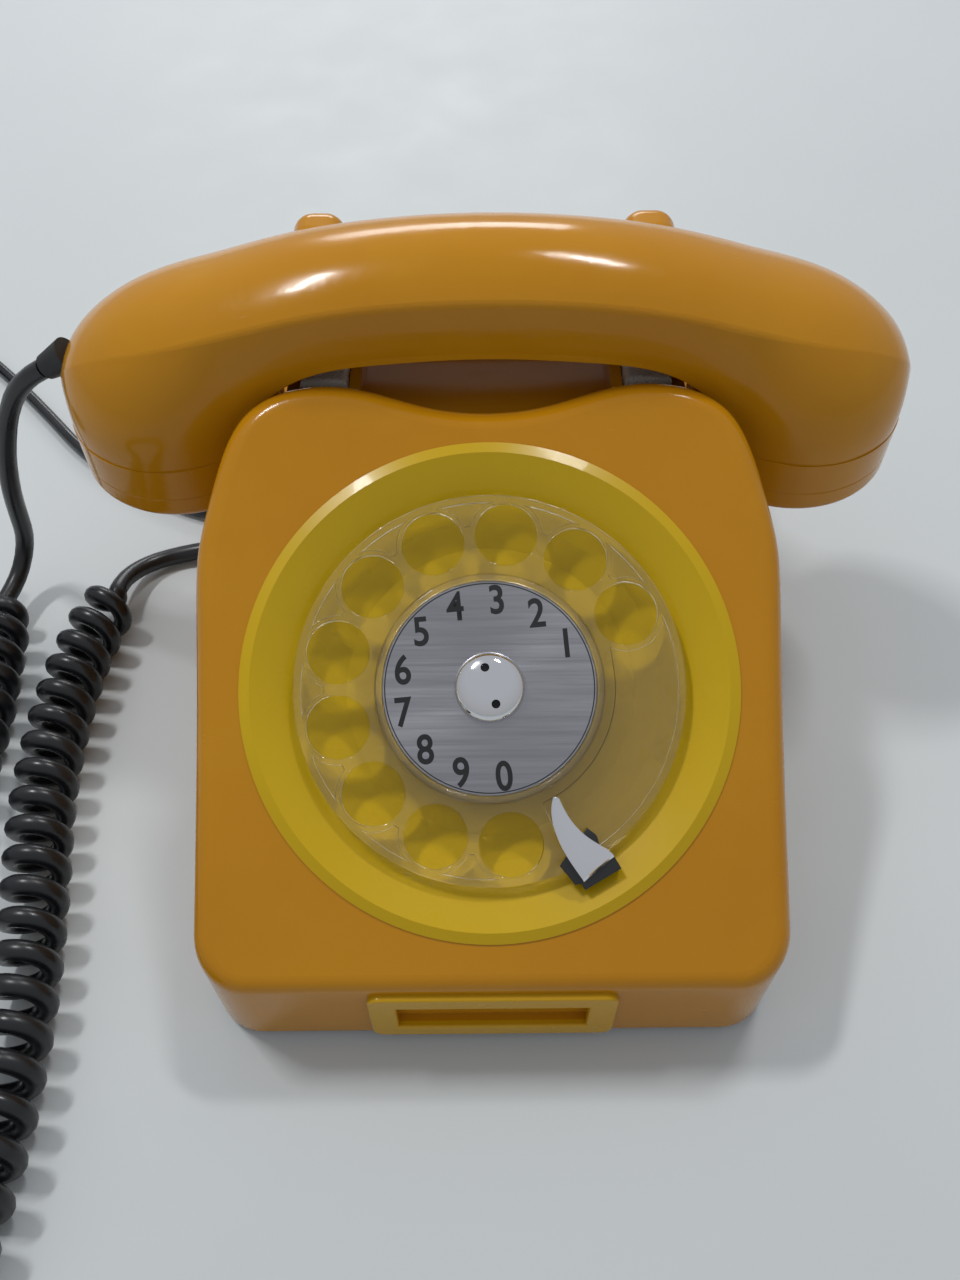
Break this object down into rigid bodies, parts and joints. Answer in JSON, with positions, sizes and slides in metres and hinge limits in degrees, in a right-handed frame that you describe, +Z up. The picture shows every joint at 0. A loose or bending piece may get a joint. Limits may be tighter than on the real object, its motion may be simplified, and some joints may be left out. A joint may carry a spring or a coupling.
{
  "type": "rotary desk phone",
  "caption": "Wedge-shaped rotary dial desk telephone in mustard plastic, with a handset across its cradle, a clear finger wheel and black cords.",
  "frame": {"origin": "on the table, under the middle of the telephone, cords left out", "axes": "+X to the right along the handset, -Y towards the user, +Z up"},
  "size_m": [0.353, 0.381, 0.1235],
  "materials": {
    "case_plastic": "glossy moulded mustard plastic with light handling scratches",
    "dial_plastic": "satin moulded yellow plastic",
    "clear_plastic": "clear polished acrylic",
    "brushed_plate": "fine circular and straight brushed aluminium",
    "chrome": "polished chrome plate",
    "black_plastic": "moulded black plastic",
    "black_cord": "soft satin black cord sheath",
    "rubber": "matte rubber",
    "steel": "plated steel",
    "brass": "machined brass",
    "board": "brown laminate"
  },
  "bodies": {
    "telephone": {"case_shell": "case_plastic", "base_plate": "steel", "base_feet": "rubber", "case_screws": "steel", "card_holder": "dial_plastic", "dial_bezel": "dial_plastic", "stop_pad": "black_plastic", "finger_stop": "chrome", "dial_frame": "steel", "gear_axles": "steel", "governor_cup": "steel", "return_spring": "steel", "pulse_contacts": "black_plastic", "hook_springs": "steel", "hook_frame": "steel", "hook_contacts": "black_plastic", "gong_left": "brass", "gong_right": "brass", "gong_posts": "steel", "gong_screws": "steel", "clapper_pin": "steel", "ringer_coils": "brass", "board_pillars": "steel", "circuit_board": "board", "speech_coil": "black_plastic", "capacitor": "black_plastic", "terminal_strip": "black_plastic", "handset_cord_gland": "black_plastic", "line_cord_gland": "black_plastic", "handset_lead": "black_cord", "curly_cord": "black_cord", "case_lead": "black_cord", "line_cord": "black_cord", "line_cord_coil": "black_cord", "line_cord_tail": "black_cord", "line_plug": "black_plastic"},
    "dial": {"finger_wheel": "clear_plastic", "number_plate": "brushed_plate", "hub_dome": "chrome", "dial_shaft": "steel", "main_gear": "brass"},
    "pulse_pinion_body": {"pulse_pinion": "brass"},
    "governor": {"governor_rotor": "steel"},
    "hook": {"hook_plungers": "clear_plastic", "hook_bridge": "black_plastic"},
    "handset": {"handset_body": "case_plastic", "mouth_cap": "case_plastic", "ear_cap": "case_plastic", "transmitter_capsule": "black_plastic", "receiver_capsule": "black_plastic", "handset_grommet": "black_plastic"},
    "clapper_arm": {"clapper": "steel"}
  },
  "joints": [
    {"name": "dial_turn", "type": "hinge", "parent": "telephone", "child": "dial", "pos_m": [0, -0.03925, 0.06366], "axis": [0, 0.5105, -0.8599], "range_deg": [0, 323], "stiffness_Nm_per_rad": 0.008, "springref_deg": -171.89},
    {"name": "pulse_pinion_spin", "type": "hinge", "parent": "telephone", "child": "pulse_pinion_body", "pos_m": [-0.0255, -0.03925, 0.06366], "axis": [0, 0.5105, -0.8599], "range_deg": [-1300, 8]},
    {"name": "governor_spin", "type": "hinge", "parent": "telephone", "child": "governor", "pos_m": [0.0255, -0.03925, 0.06366], "axis": [0, 0.5105, -0.8599], "range_deg": [-1300, 8]},
    {"name": "handset_lift", "type": "slide", "parent": "telephone", "child": "handset", "axis": [0, 0, 1], "range_m": [0, 0.1]},
    {"name": "hook_travel", "type": "slide", "parent": "telephone", "child": "hook", "axis": [0, 0, 1], "range_m": [0, 0.004], "deforming": ["hook_springs"]},
    {"name": "clapper_swing", "type": "hinge", "parent": "telephone", "child": "clapper_arm", "pos_m": [0, 0.02375, 0.018], "axis": [0, 0, 1], "range_deg": [-2.5, 2.5], "stiffness_Nm_per_rad": 0.002}
  ],
  "couplings": [
    {"joint": "pulse_pinion_spin", "follows": "dial_turn", "ratio": -4},
    {"joint": "governor_spin", "follows": "dial_turn", "ratio": -4},
    {"joint": "hook_travel", "follows": "handset_lift", "ratio": 0.04}
  ]
}
